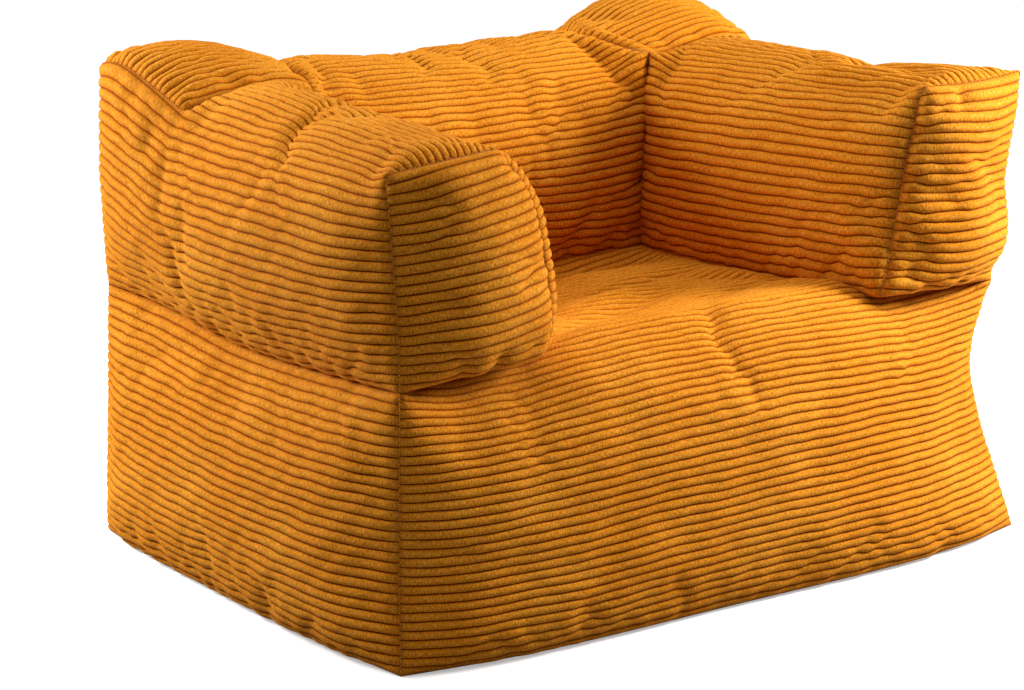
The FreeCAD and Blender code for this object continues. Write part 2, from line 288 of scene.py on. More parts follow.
class Panel:
    """A cover panel before it is raised into wales.

    grid   its shape, as rows of points; rows run along the wales
    wales  how many wales lie across it
    notch  the part to leave out, as (first column, first row)
    still  whether the simulation leaves it alone
    slot   the zip's opening, as first column, first row, last column and last row
    taut   how little larger than its frame the cloth is, from 0 to 1
    calm   the corner seams that the cloth rounds smoothly, without a crease
    """

    def __init__(self, name, grid, outward, wales, notch=None, still=False, slot=None,
                 taut=0.0, calm=()):
        self.name = name
        self.grid = grid
        self.outward = outward
        self.wales = wales
        self.notch = notch
        self.still = still
        self.slot = slot
        self.taut = taut
        self.calm = calm

    @property
    def shape(self):
        return self.grid.shape[:2]

    def share_moved(self):
        """How much of its movement in the simulation each point keeps: little at a rounded
        corner."""
        rows, columns = self.shape
        column = np.arange(columns)[None, :] + np.zeros((rows, 1))
        row = np.arange(rows)[:, None] + np.zeros((1, columns))
        lowest = np.ones((rows, columns))
        for edge in self.calm:
            cells = columns - 1 - column if edge.endswith("end") else column
            if edge.startswith("outer"):
                cells = cells + np.clip(row - ARM_UP + 3, 0, None)
            lowest = np.minimum(lowest, 1 - np.exp(-(cells / 3.5) ** 2))
        return lowest

    def holes(self):
        """The parts left out, as first column, first row, last column and last row."""
        rows, columns = self.shape
        found = [self.notch + (columns - 1, rows - 1)] if self.notch else []
        return found + ([self.slot] if self.slot else [])

    def held(self):
        """Which points the simulation holds still: the seams and the notch."""
        rows, columns = self.shape
        hold = np.zeros((rows, columns), bool)
        hold[0, :] = hold[-1, :] = hold[:, 0] = hold[:, -1] = True
        if self.notch:
            column, row = self.notch
            hold[row:, column:] = True
        if self.slot:
            hold[:self.slot[3] + 4] = True
        if self.still:
            hold[:] = True
        return hold


def wales_over(length):
    return max(2, round(length / WALE))


def base_panels():
    seams = BaseSeams

    def side(name, direction, foot, crease, front, rear):
        sheet = between(foot, crease, front, rear)
        return Panel(name, puffed(sheet, (direction, 0, 0), 0.028, BASE_REACH), (direction, 0, 0), WALL,
                     taut=0.8, calm=("start", "end"))

    face = puffed(between(seams.foot_front, seams.rim, seams.corner_front_left,
                          seams.corner_front_right), (0, -1, 0), 0.026, BASE_REACH)
    seat = puffed(between(seams.rim, seams.crease_rear, seams.crease_left,
                          seams.crease_right), (0, 0, 1), 0.016, 0.05, 0.08)
    seat = pressed_by_ring(seat)
    whole = rolled(np.concatenate([face, seat[1:]]), WALL, 40, 7)
    seat_wales = wales_over(np.linalg.norm(seams.crease_rear[0] - seams.rim[0]))
    bottom = between(seams.foot_front, seams.foot_rear, seams.foot_left, seams.foot_right)
    return [
        Panel("seat_and_front_panel", whole, (0, -1, 1), WALL + seat_wales, taut=1.0,
              calm=("start", "end")),
        side("base_left_panel", -1, seams.foot_left, seams.crease_left,
             seams.corner_front_left, seams.corner_rear_left),
        side("base_right_panel", 1, seams.foot_right, seams.crease_right,
             seams.corner_front_right, seams.corner_rear_right),
        rear_wall(),
        Panel("base_bottom_panel", bottom, (0, 0, -1), 0, still=True),
    ]


# How high the seat stands behind the front, where it starts to drop, and how far it drops
FRONT_RISE, FRONT_RISE_Y, SEAT_DROP, SEAT_DROP_LENGTH = 0.016, 0.35, 0.033, 0.40


def pressed_by_ring(seat):
    """The seat, sunk where an arm or the backrest lies on it, and rising from there."""
    out = seat.copy()
    inner = left_seams.foot_inner
    y = out[..., 1]
    beside_arm = np.interp(y, inner[:, 1], -inner[:, 0]) - np.abs(out[..., 0])
    inside = np.minimum(beside_arm, left_seams.back_side[-1][1] - y)
    rest = np.interp(y, inner[:, 1], inner[:, 2]) - 0.004
    allowed = rest + np.clip(inside + 0.010, 0, None) * 0.32
    back_share = np.clip((y + FRONT_RISE_Y) / SEAT_DROP_LENGTH, 0, 1)
    allowed = np.minimum(allowed, SEAM_HEIGHT + FRONT_RISE - SEAT_DROP * back_share ** 0.8)
    over = out[..., 2] - allowed
    lowered = np.where(over > -0.01, (over + 0.01) ** 2 / 0.04, 0)
    lowered = np.where(over > 0.01, over, lowered)
    from_edge = np.minimum(np.arange(out.shape[0]), np.arange(out.shape[0])[::-1])[:, None]
    from_side = np.minimum(np.arange(out.shape[1]), np.arange(out.shape[1])[::-1])[None, :]
    out[..., 2] -= lowered * np.clip(np.minimum(from_edge / 4, from_side / 2), 0, 1)
    return out


def arm_panels(hand, seams):
    side = seams.side
    up, over = wales_over(0.285), wales_over(0.185)
    outer = puffed(
        between(seams.foot_outer, chain(seams.top_outer, seams.patch_outer),
                seams.front_outer, seams.rear_outer), (side, 0, 0), seams.belly, BASE_REACH,
        RING_REACH)
    top = between(seams.top_outer, np.linspace(seams.front_top[-1], seams.patch_front[-1],
                                               DEEP_FRONT + 1),
                  seams.front_top, seams.patch_front)
    top = puffed(top, (0, 0, 1), 0.010, RING_REACH, RING_REACH)
    inner = puffed(between(top[-1], seams.foot_inner, seams.front_inner, seams.back_side),
                   (-side, 0, 0), 0.020, RING_REACH, RING_REACH)
    front_part = np.concatenate([outer[:, :DEEP_FRONT + 1], top[1:], inner[1:]])
    front_part[:, -1] = chain(front_part[:ARM_UP + 1, -1], seams.patch_front, seams.back_side)
    front_part = rolled(front_part, ARM_UP, 16, 4)
    front_part = rolled(front_part, ARM_UP + ARM_OVER, 22, 4)
    front_part[:ARM_UP + 1, -1] = outer[:, DEEP_FRONT]
    behind = [front_part[:, -1:] + np.array((0, step, 0))
              for step in np.linspace(0, seams.rear_outer[0][1] - BACK_START * RING.y,
                                      DEEP_REAR + 1)[1:]]
    whole = np.concatenate([front_part] + behind, axis=1)
    whole[:ARM_UP + 1, DEEP_FRONT:] = outer[:, DEEP_FRONT:]
    patch = puffed(between(seams.patch_front, seams.patch_rear, seams.patch_outer,
                           seams.patch_inner), (0, 0, 1), 0.006, 0.035, 0.035)
    front_foot = np.linspace(seams.front_outer[0], seams.front_inner[-1], ARM_OVER + 1)
    front = between(front_foot, seams.front_top, seams.front_outer, seams.front_inner[::-1])
    rear_foot = np.linspace(seams.rear_outer[0], seams.rear_inner[-1], ARM_OVER + 1)
    rear = between(rear_foot, seams.patch_rear, seams.rear_outer, seams.rear_inner[::-1])
    foot = between(front[0], rear_foot, seams.foot_outer,
                   chain(seams.foot_inner, seams.side_foot))
    return [
        Panel(hand + "_arm_wrap_panel", whole, (side, 0, 1), 2 * up + over,
              notch=(DEEP_FRONT, ARM_UP), taut=0.7, calm=("outer_start", "outer_end")),
        Panel(hand + "_corner_top_panel", patch, (0, 0, 1), wales_over(0.24)),
        Panel(hand + "_arm_front_panel", puffed(front, (0, -1, 0), 0.030, 0.05, RING_REACH),
              (0, -1, 0), up, calm=("start",)),
        Panel(hand + "_arm_rear_panel", puffed(rear, (0, 1, 0), 0.016, RING_REACH, RING_REACH),
              (0, 1, 0), up, calm=("start",)),
        Panel(hand + "_arm_foot_panel", foot, (0, 0, -1), 0, still=True),
    ]


def back_panels(left, right):
    seat_line = curve([left.back_side[-1], ring_point(0, 0.405, -0.06), right.back_side[-1]],
                      MIDDLE)
    brow = curve([left.back_side[0], ring_point(-0.25, 0.40, 0.81), ring_point(0.2, 0.41, 0.80),
                  right.back_side[0]], MIDDLE)
    ridge = curve([left.patch_inner[-1], ring_point(0, 0.965, 0.81), right.patch_inner[-1]],
                  MIDDLE)
    face = puffed(between(seat_line, brow, left.back_side[::-1], right.back_side[::-1]),
                  (0, -1, 0), 0.022, RING_REACH, RING_REACH)
    top = puffed(between(brow, ridge, left.patch_inner, right.patch_inner), (0, 0, 1), 0.004,
                 RING_REACH, RING_REACH)
    wrap = rolled(np.concatenate([face, top[1:]]), ARM_UP, 30, 6)
    rear_foot = curve([left.rear_inner[-1], ring_point(0, 0.93, 0), right.rear_inner[-1]], MIDDLE)
    rear = puffed(between(rear_foot, ridge, left.rear_inner[::-1], right.rear_inner[::-1]),
                  (0, 1, 0), 0.016, RING_REACH, RING_REACH)
    foot = between(seat_line, rear_foot, left.side_foot, right.side_foot)
    sides = [Panel(name, between(seams.side_foot, seams.patch_inner, seams.back_side[::-1],
                                 seams.rear_inner[::-1]), (seams.side, 0, 0), 0, still=True)
             for name, seams in (("back_left_side_panel", left),
                                 ("back_right_side_panel", right))]
    return [
        Panel("back_wrap_panel", wrap, (0, -1, 1), wales_over(0.29) + wales_over(0.23)),
        Panel("back_rear_panel", rear, (0, 1, 0), wales_over(0.28)),
        Panel("back_foot_panel", foot, (0, 0, -1), 0, still=True),
    ] + sides


ZIP_LOW, ZIP_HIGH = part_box("cover_zip_lower_tape"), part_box("cover_zip_upper_tape")
ZIP_MIDDLE = (ZIP_LOW[0] + ZIP_HIGH[1]) / 2
SLOT_HALF_HEIGHT, SLOT_HALF_LENGTH = 0.0080, ZIP_LOW[1].x
SLOT_WALE = 5                                    # the wale that the slot takes the place of
PRESSED, PRESSED_REACH = 0.2, 0.020              # the wales' height beside the slot


def wall_plane(z):
    """How far back the CAD's rear wall lies at a height."""
    slope = (ZIP_LOW[1].y - ZIP_HIGH[1].y) / (ZIP_HIGH[1].z - ZIP_LOW[1].z)
    return FOOT.y - slope * z


def rear_wall():
    """The base's rear wall. It lies on the CAD's wall along the zip, whose slot takes the
    place of one wale."""
    seams = BaseSeams
    sheet = between(seams.foot_rear, seams.crease_rear, seams.corner_rear_left,
                    seams.corner_rear_right)
    row = np.linspace(0, 1, WALL + 1)[:, None]
    column = np.arange(FRONT + 1)
    inner = np.clip(np.minimum(column, FRONT - column) / 5, 0, 1)
    inner = (inner * inner * (3 - 2 * inner))[None, :]
    first = np.argmin(np.abs(sheet[SLOT_WALE, :, 0] + SLOT_HALF_LENGTH))
    stretch = SLOT_HALF_LENGTH / -sheet[SLOT_WALE, first, 0]
    sheet[..., 0] *= 1 + (stretch - 1) * inner
    low, high = ZIP_MIDDLE.z - SLOT_HALF_HEIGHT, ZIP_MIDDLE.z + SLOT_HALF_HEIGHT
    wales = np.arange(WALL + 1)
    foot, crease = seams.foot_rear[0, 2], SEAM_HEIGHT * 0.965
    level = np.interp(wales, (0, SLOT_WALE, SLOT_WALE + 1, WALL), (foot, low, high, crease))
    sheet[..., 2] += (level[:, None] - sheet[..., 2]) * inner * (1 - row ** 4)
    belly = 0.016 * np.sin(np.pi * np.clip((row - 0.25) / 0.75, 0, 1)) ** 2
    plane = wall_plane(sheet[..., 2]) + belly
    on_plane = inner * (1 - np.clip((row - 0.7) / 0.3, 0, 1) ** 2)
    sheet[..., 1] += (plane - sheet[..., 1]) * on_plane
    return Panel("base_rear_panel", sheet, (0, 1, 0), WALL, taut=1.0,
                 slot=(first, SLOT_WALE, FRONT - first, SLOT_WALE + 1))


# ---------------------------------------------------------------- cloth simulation

PRESSURE = 2.6
# How much larger than its frame the cloth is: on the ring, and on the base, which is tighter
LOOSE, TAUT = 0.030, 0.005
MOST_MOVED = 0.030
FRAMES = 24


def settle(all_panels):
    """Inflates all panels at once between their seams. Each seam is held, the cloth between
    is a little too large, and it creases as it fills."""
    panels = [panel for panel in all_panels if not panel.still]
    shapes = [panel.shape for panel in panels]
    bm = bmesh.new()
    for rows, columns in shapes:
        bmesh.ops.create_grid(bm, x_segments=columns - 1, y_segments=rows - 1, size=1)
    points = np.concatenate([panel.grid.reshape(-1, 3) for panel in panels])
    for vertex, point in zip(bm.verts, points):
        vertex.co = point
    mesh = mesh_of(bm, "settling")
    flip_inward_faces(mesh, panels)
    bag = placed("settling", mesh)
    held = np.concatenate([panel.held().ravel() for panel in panels])
    group = bag.vertex_groups.new(name="seams")
    group.add([int(i) for i in np.flatnonzero(held)], 1.0, "REPLACE")
    cloth = bag.modifiers.new("Cloth", "CLOTH")
    settings = cloth.settings
    settings.quality = 4
    settings.mass = 0.25
    settings.tension_stiffness = settings.compression_stiffness = 20
    settings.shear_stiffness = 8
    settings.bending_stiffness = 0.25
    settings.air_damping = 2
    settings.use_pressure = True
    settings.uniform_pressure_force = PRESSURE
    settings.effector_weights.gravity = 0
    settings.vertex_group_mass = group.name
    taut = np.concatenate([np.full(panel.shape, panel.taut).ravel() for panel in panels])
    tight = bag.vertex_groups.new(name="tight")
    for index in np.flatnonzero(taut):
        tight.add([int(index)], float(taut[index]), "REPLACE")
    settings.vertex_group_shrink = tight.name
    settings.shrink_min = -LOOSE
    settings.shrink_max = -TAUT
    cloth.collision_settings.use_collision = False
    cloth.point_cache.frame_end = FRAMES
    scene = bpy.context.scene
    for step in range(1, FRAMES + 1):
        scene.frame_set(step)
    evaluated = bag.evaluated_get(bpy.context.evaluated_depsgraph_get())
    moved = np.zeros(len(points) * 3)
    evaluated.data.vertices.foreach_get("co", moved)
    moved = moved.reshape(-1, 3) - points
    far = np.linalg.norm(moved, axis=1, keepdims=True)
    moved *= MOST_MOVED * np.tanh(far / MOST_MOVED) / np.maximum(far, 1e-9)
    moved[held] = 0
    scene.frame_set(1)
    bpy.data.objects.remove(bag)
    start = 0
    for panel, (rows, columns) in zip(panels, shapes):
        share = moved[start:start + rows * columns].reshape(rows, columns, 3)
        panel.grid = panel.grid + share * panel.share_moved()[..., None]
        start += rows * columns


def flip_inward_faces(mesh, panels):
    """Turns the faces of the panels whose grids run the other way round, because the
    pressure pushes along the faces' normals."""
    bm = bmesh.new()
    bm.from_mesh(mesh)
    bm.faces.ensure_lookup_table()
    start = 0
    for panel in panels:
        rows, columns = panel.shape
        count = (rows - 1) * (columns - 1)
        faces = bm.faces[start:start + count]
        middle = panel.grid[rows // 2:rows // 2 + 2, columns // 2:columns // 2 + 2]
        normal = np.cross(middle[0, 1] - middle[0, 0], middle[1, 0] - middle[0, 0])
        if normal @ normals_of(panel.grid, panel.outward)[rows // 2, columns // 2] < 0:
            bmesh.ops.reverse_faces(bm, faces=list(faces))
        start += count
    bm.to_mesh(mesh)
    bm.free()


# ---------------------------------------------------------------- folds

def crease(panel, start, end, depth, width):
    """Sinks a fold into a panel along a straight line, or raises one where depth is
    negative. It fades out towards both ends."""
    line = end - start
    share = np.clip((panel.grid - start) @ line / (line @ line), 0, 1)
    away = np.linalg.norm(panel.grid - start - share[..., None] * line, axis=2)
    strength = np.exp(-(away / width) ** 2) * np.sin(np.pi * np.clip(share, 0.02, 0.98)) ** 0.6
    free = np.where(panel.held(), 0.0, 1.0)
    normal = normals_of(panel.grid, panel.outward)
    panel.grid = panel.grid - normal * (strength * free * depth)[..., None]


def by_name(panels, name):
    return next(panel for panel in panels if panel.name == name)


def add_folds(panels):
    """The folds that a sitter and the hang of the filling have left."""
    at = ring_point
    folds = {
        "seat_and_front_panel": (
            (at(-0.56, -0.66, 0.02), at(0.10, -0.02, 0.0), 0.013, 0.024),
            (at(-0.56, -0.36, -0.02), at(0.20, 0.28, -0.04), 0.020, 0.036),
            (at(-0.58, -0.86, 0.02), at(0.18, -0.46, 0.02), 0.010, 0.020),
            (at(-0.30, -0.55, 0.02), at(0.30, -0.22, 0.0), -0.008, 0.022),
            (at(-0.10, -0.30, 0.0), at(0.50, -0.10, -0.02), 0.010, 0.022),
            (at(0.05, -0.72, 0.03), at(0.52, -0.50, 0.02), 0.006, 0.018),
            (at(0.52, -0.60, 0.0), at(0.25, -0.10, 0.0), 0.007, 0.025),
            (at(0.05, 0.30, -0.05), at(0.52, 0.18, -0.05), 0.016, 0.034),
        ),
        "back_wrap_panel": tuple(
            (at(x, 0.36, top), at(x + lean, 0.36, 0.05), depth, 0.017)
            for x, top, lean, depth in (
                (-0.36, 0.80, 0.03, 0.006), (-0.22, 0.85, 0.05, 0.008),
                (-0.05, 0.80, -0.02, 0.006), (0.12, 0.85, 0.04, 0.009),
                (0.30, 0.75, 0.02, 0.007), (0.42, 0.80, -0.03, 0.006))),
        "right_arm_wrap_panel": (
            (at(0.78, -0.93, 0.92), at(0.80, -0.45, 0.88), 0.009, 0.016),
            (at(0.66, -0.90, 0.85), at(0.64, -0.35, 0.80), 0.008, 0.016),
            (at(0.92, -0.88, 0.90), at(0.93, -0.30, 0.86), 0.007, 0.018),
            (at(0.60, -0.80, 0.55), at(0.60, -0.20, 0.72), 0.008, 0.022),
            (at(0.55, -0.60, 0.20), at(0.55, 0.10, 0.35), 0.007, 0.025),
        ),
        "left_arm_wrap_panel": (
            (at(-0.99, -0.95, 0.80), at(-0.93, -0.30, 0.92), 0.007, 0.018),
            (at(-0.86, -0.90, 0.92), at(-0.78, -0.25, 0.95), 0.006, 0.017),
            (at(-0.97, 0.34, 0.84), at(-1.02, 0.60, 0.55), 0.004, 0.022),
            (at(-1.02, 0.70, 0.40), at(-1.02, 0.15, 0.05), -0.004, 0.035),
        ),
        "base_left_panel": (
            (at(-1.0, 0.78, -0.10), at(-1.0, 0.30, -0.30), 0.008, 0.026),
            (at(-1.0, 0.20, -0.06), at(-1.0, -0.15, -0.45), 0.005, 0.030),
        ),
        "base_right_panel": (
            (at(1.0, 0.70, -0.10), at(1.0, 0.25, -0.40), 0.008, 0.028),
            (at(1.0, -0.60, -0.15), at(1.0, -0.20, -0.50), 0.006, 0.028),
        ),
    }
    for name, lines in folds.items():
        for start, end, depth, width in lines:
            crease(by_name(panels, name), start, end, depth, width)


# ---------------------------------------------------------------- from panel to piece

def weights(at, count):
    """Catmull-Rom weights of count evenly spaced points, for the given places."""
    at = np.clip(at, 0, count - 1)
    first = np.minimum(at.astype(int), count - 2)
    t = at - first
    basis = ((-t + 2 * t ** 2 - t ** 3) / 2, (2 - 5 * t ** 2 + 3 * t ** 3) / 2,
             (t + 4 * t ** 2 - 3 * t ** 3) / 2, (-t ** 2 + t ** 3) / 2)
    matrix = np.zeros((len(at), count + 2))
    rows = np.arange(len(at))
    for shift, weight in enumerate(basis):
        matrix[rows, first + shift] += weight
    # the two points beyond the ends go on in a straight line
    matrix[:, 1] += 2 * matrix[:, 0]
    matrix[:, 2] -= matrix[:, 0]
    matrix[:, -2] += 2 * matrix[:, -1]
    matrix[:, -3] -= matrix[:, -1]
    return matrix[:, 1:-1]


def wale_places(wales):
    """Where the vertices across all wales lie, as shares, with the height of each."""
    at = [(wale + step) / wales for wale in range(wales) for step in WALE_STEPS] + [1.0]
    height = list(WALE_PROFILE) * wales + [0.0]
    return np.array(at), np.array(height)


def lengths_along(fine, axis):
    """How far each point lies along the cloth from its row's or column's first point."""
    steps = np.linalg.norm(np.diff(fine, axis=axis), axis=2)
    pad = [(0, 0), (0, 0)]
    pad[axis] = (1, 0)
    return np.pad(np.cumsum(steps, axis=axis), pad)


def hole_shares(panel, hole):
    """Where a hole starts and ends along the rows, then up the columns, as shares."""
    rows, columns = panel.shape
    return (hole[0] / (columns - 1), hole[2] / (columns - 1),
            hole[1] / (rows - 1), hole[3] / (rows - 1))


def distance_to_hole(panel, hole, fine, u, v):
    """How far each point lies from a hole."""
    low_u, high_u, low_v, high_v = hole_shares(panel, hole)
    wide = np.linalg.norm(np.diff(fine, axis=1), axis=2).sum(axis=1).mean()
    high = np.linalg.norm(np.diff(fine, axis=0), axis=2).sum(axis=0).mean()
    over_u = np.maximum(np.maximum(low_u - u, u - high_u), 0) * wide
    over_v = np.maximum(np.maximum(low_v - v, v - high_v), 0) * high
    return np.hypot(over_u[None, :], over_v[:, None])


def distance_to_seams(panel, fine, u, v):
    across, along = lengths_along(fine, 0), lengths_along(fine, 1)
    near = np.minimum.reduce([across, across[-1:] - across, along, along[:, -1:] - along])
    for hole in panel.holes():
        near = np.minimum(near, distance_to_hole(panel, hole, fine, u, v))
    return near


PUFF = 0.0045                                    # how far the cloth stands off its seams
CALM_PUFF = 0.3                                  # the share of it at a rounded corner
PUFF_REACH = 0.010
SEAM_REACH = 0.0035                              # over which the wales sink into a seam
WANDER, UNEVEN = 0.0013, 0.0011                  # how far wales wander, and the cloth heaves


def uneven(places, wave):
    """A smooth uneven field, mostly between -1 and 1, over places. wave sets how fine."""
    x, y, z = np.moveaxis(places, -1, 0)
    return (np.sin(wave * (x + 0.7 * y + 0.4 * z) + 1.3) * np.sin(wave * (0.9 * z - 0.5 * x))
            + 0.6 * np.sin(wave * 1.9 * (y - 0.6 * x + 0.5 * z) + 0.4)
            * np.sin(wave * 1.6 * (z + 0.4 * y) + 2.1)
            + 0.35 * np.sin(wave * 3.7 * (x + y) + wave) * np.sin(wave * 3.1 * (z - 0.3 * x)))


def raise_wales(panel):
    """The finished piece: a fine sheet with wales, and its cloth's thickness."""
    rows, columns = panel.shape
    length = np.linalg.norm(np.diff(panel.grid, axis=1), axis=2).sum(axis=1).max()
    steps = round(length / ALONG / (columns - 1) + 0.5) * (columns - 1)
    u = np.linspace(0, 1, steps + 1)
    v, height = wale_places(panel.wales)
    spread_u, spread_v = weights(u * (columns - 1), columns), weights(v * (rows - 1), rows)
    fine = np.einsum("ri,ijk,cj->rck", spread_v, panel.grid, spread_u)
    normal = normals_of(fine, panel.outward)
    near = distance_to_seams(panel, fine, u, v)
    calm = np.einsum("ri,ij,cj->rc", spread_v, panel.share_moved(), spread_u)
    rise = PUFF * (1 - np.exp(-(near / PUFF_REACH) ** 2)) * (CALM_PUFF + (1 - CALM_PUFF) * calm)
    wale = WALE_HEIGHT * height[:, None] * (1 - np.exp(-(near / SEAM_REACH)))
    if panel.slot:
        free = distance_to_hole(panel, panel.slot, fine, u, v) - PRESSED_REACH
        free = np.clip(free / PRESSED_REACH, 0, 1)
        rise *= free
        wale *= PRESSED + (1 - PRESSED) * free
    inside = (1 - np.exp(-(near / 0.03) ** 2)) * (0.0 if panel.slot else 1.0)
    wander = uneven(fine, 23) * inside * WANDER
    across = np.gradient(fine, axis=0)
    across /= np.maximum(np.linalg.norm(across, axis=2, keepdims=True), 1e-12)
    rise = rise + uneven(fine, 41) * inside * UNEVEN
    wale = wale * (1 + 0.14 * uneven(fine, 67))
    fine = fine + normal * (rise + wale)[..., None] + across * wander[..., None]
    return sheet_object(panel, fine, u, v, near)


def sheet_object(panel, fine, u, v, near):
    rows, columns = fine.shape[:2]
    bm = bmesh.new()
    uv = bm.loops.layers.uv.new("wales")
    bmesh.ops.create_grid(bm, x_segments=columns - 1, y_segments=rows - 1, size=1)
    bm.verts.ensure_lookup_table()
    seam = bm.verts.layers.float.new("seam")
    length = np.linalg.norm(np.diff(fine, axis=1), axis=2).sum(axis=1).mean()
    flat = fine.reshape(-1, 3)
    # painted shade: how much the cloth is darkened near its seams, where shade falls
    shade = np.exp(-near / 0.009).ravel()
    for index, vertex in enumerate(bm.verts):
        vertex.co = flat[index]
        vertex[seam] = shade[index]
    along = u * length
    across = v * panel.wales
    for face in bm.faces:
        for loop in face.loops:
            row, column = divmod(loop.vert.index, columns)
            loop[uv].uv = (along[column], across[row])
    turn_to(bm, normals_of(fine, panel.outward), columns)
    bmesh.ops.delete(bm, geom=left_out(panel, bm, u, v, columns), context="FACES")
    piece = object_of(bm, "corduroy_" + panel.name)
    thicken(piece, CLOTH)
    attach(piece, "chair")
    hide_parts(panel.name)
    return piece


NEARLY = 1e-6                                    # rounding error of a share


def left_out(panel, bm, u, v, columns):
    """The faces in the panel's notch or slot."""
    dropped = []
    for hole in panel.holes():
        low_u, high_u, low_v, high_v = hole_shares(panel, hole)
        inside_u = (u > low_u - NEARLY) & (u < high_u - NEARLY)
        inside_v = (v > low_v - NEARLY) & (v < high_v - NEARLY)
        for face in bm.faces:
            corner = min(vertex.index for vertex in face.verts)
            row, column = divmod(corner, columns)
            if inside_v[row] and inside_u[column]:
                dropped.append(face)
    return dropped


# ---------------------------------------------------------------- inner bags

def plain_piece(panel, slot):
    """A panel of smooth cloth."""
    rows, columns = panel.shape
    bm = bmesh.new()
    bmesh.ops.create_grid(bm, x_segments=columns - 1, y_segments=rows - 1, size=1)
    for vertex, point in zip(bm.verts, panel.grid.reshape(-1, 3)):
        vertex.co = point
    turn_to(bm, normals_of(panel.grid, panel.outward), columns)
    piece = object_of(bm, "cloth_" + panel.name)
    thicken(piece, CLOTH)
    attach(piece, "chair")
    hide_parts(panel.name)
    return piece


def turn_to(bm, normals, columns):
    """Turns a grid's faces to the side of the given normals."""
    face = bm.faces[:][len(bm.faces) // 2]
    face.normal_update()
    row, column = divmod(face.verts[0].index, columns)
    if np.array(face.normal) @ normals[row, column] < 0:
        bmesh.ops.reverse_faces(bm, faces=bm.faces[:])


def placed(name, data):
    """A new object in the scene."""
    made = bpy.data.objects.new(name, data)
    bpy.context.scene.collection.objects.link(made)
    return made


def mesh_of(bm, name):
    mesh = bpy.data.meshes.new(name)
    bm.to_mesh(mesh)
    bm.free()
    return mesh


def object_of(bm, name):
    mesh = mesh_of(bm, name)
    mesh.shade_smooth()
    return placed(name, mesh)


def thicken(piece, thickness):
    """Gives a sheet its cloth's thickness, inwards."""
    cloth = piece.modifiers.new("cloth", "SOLIDIFY")
    cloth.thickness = thickness
    cloth.offset = -1


def into_channel(place, depth):
    """A point of the base's liner or filling, moved behind the liner's zip where it is in
    the zip's channel."""
    beside = (abs(place.x) - CHANNEL_HALF_LENGTH) / CHANNEL_EASE
    above = (abs(place.z - ZIP_MIDDLE.z) - CHANNEL_HALF_HEIGHT) / CHANNEL_EASE
    share = 1 - min(1, max(0, beside, above))
    behind = min(place.y, wall_plane(place.z) - depth)
    if place.y > 0.3:
        place.y += (behind - place.y) * share
    return place


CHANNEL_HALF_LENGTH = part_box("cover_zip_end_stops")[1].x + 0.01
CHANNEL_HALF_HEIGHT, CHANNEL_EASE = 0.030, 0.025


def bag(name, panels, inset, slot, wall=None, channel=None):
    """A closed bag that lies inside the given panels, inset from them. channel is how far
    behind the rear wall it lies along the zips."""
    bm = bmesh.new()
    for panel in panels:
        rows, columns = panel.shape
        made = bmesh.ops.create_grid(bm, x_segments=columns - 1, y_segments=rows - 1, size=1)
        for vertex, point in zip(made["verts"], panel.grid.reshape(-1, 3)):
            vertex.co = point
        if panel.notch:
            column, row = panel.notch
            gone = [vertex for number, vertex in enumerate(made["verts"])
                    if number // columns > row and number % columns > column]
            bmesh.ops.delete(bm, geom=gone, context="VERTS")
    bmesh.ops.remove_doubles(bm, verts=bm.verts[:], dist=0.0005)
    bmesh.ops.recalc_face_normals(bm, faces=bm.faces[:])
    bm.normal_update()
    places = [vertex.co - vertex.normal * inset * vertex.calc_shell_factor()
              for vertex in bm.verts]
    for vertex, place in zip(bm.verts, places):
        vertex.co = into_channel(place, channel) if channel else place
    for _ in range(2):
        bmesh.ops.smooth_vert(bm, verts=bm.verts[:], factor=0.5, use_axis_x=True,
                              use_axis_y=True, use_axis_z=True)
    piece = object_of(bm, name)
    if wall:
        thicken(piece, wall)
    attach(piece, "chair")
    return piece


# ---------------------------------------------------------------- materials

def node(tree, kind, values=None, **settings):
    """A new node with its properties set and its inputs given a value or a link."""
    made = tree.nodes.new(kind)
    for name, value in settings.items():
        setattr(made, name, value)
    for key, value in (values or {}).items():
        if isinstance(value, bpy.types.NodeSocket):
            tree.links.new(value, made.inputs[key])
        else:
            made.inputs[key].default_value = value
    return made


def math_node(tree, operation, *values):
    return node(tree, "ShaderNodeMath", dict(enumerate(values)), operation=operation).outputs[0]


def smooth_step(tree, value, low, high, to_low=0.0, to_high=1.0):
    made = node(tree, "ShaderNodeMapRange", {0: value, 1: low, 2: high, 3: to_low, 4: to_high},
                interpolation_type="SMOOTHSTEP")
    return made.outputs[0]


def noise(tree, vector, scale, detail=2.0, roughness=0.5):
    made = node(tree, "ShaderNodeTexNoise", {"Vector": vector, "Scale": scale, "Detail": detail,
                                             "Roughness": roughness})
    return made.outputs[0]


def mix_color(tree, factor, first, second, blend="MIX"):
    made = tree.nodes.new("ShaderNodeMix")
    made.data_type = "RGBA"
    made.blend_type = blend
    for index, value in ((0, factor), (6, first), (7, second)):
        if isinstance(value, bpy.types.NodeSocket):
            tree.links.new(value, made.inputs[index])
        else:
            made.inputs[index].default_value = value
    return made.outputs[2]


def grey(tree, value):
    """One number as a colour."""
    return node(tree, "ShaderNodeCombineXYZ", {0: value, 1: value, 2: value}).outputs[0]


def object_coordinates(tree):
    return tree.nodes.new("ShaderNodeTexCoord").outputs["Object"]


def group(name, inputs, outputs):
    """An empty node group with its sockets, and its two end nodes."""
    tree = bpy.data.node_groups.new(name, "ShaderNodeTree")
    for socket, kind, value in inputs:
        made = tree.interface.new_socket(socket, in_out="INPUT", socket_type=kind)
        if value is not None:
            made.default_value = value
    for socket, kind in outputs:
        tree.interface.new_socket(socket, in_out="OUTPUT", socket_type=kind)
    return tree, tree.nodes.new("NodeGroupInput"), tree.nodes.new("NodeGroupOutput")


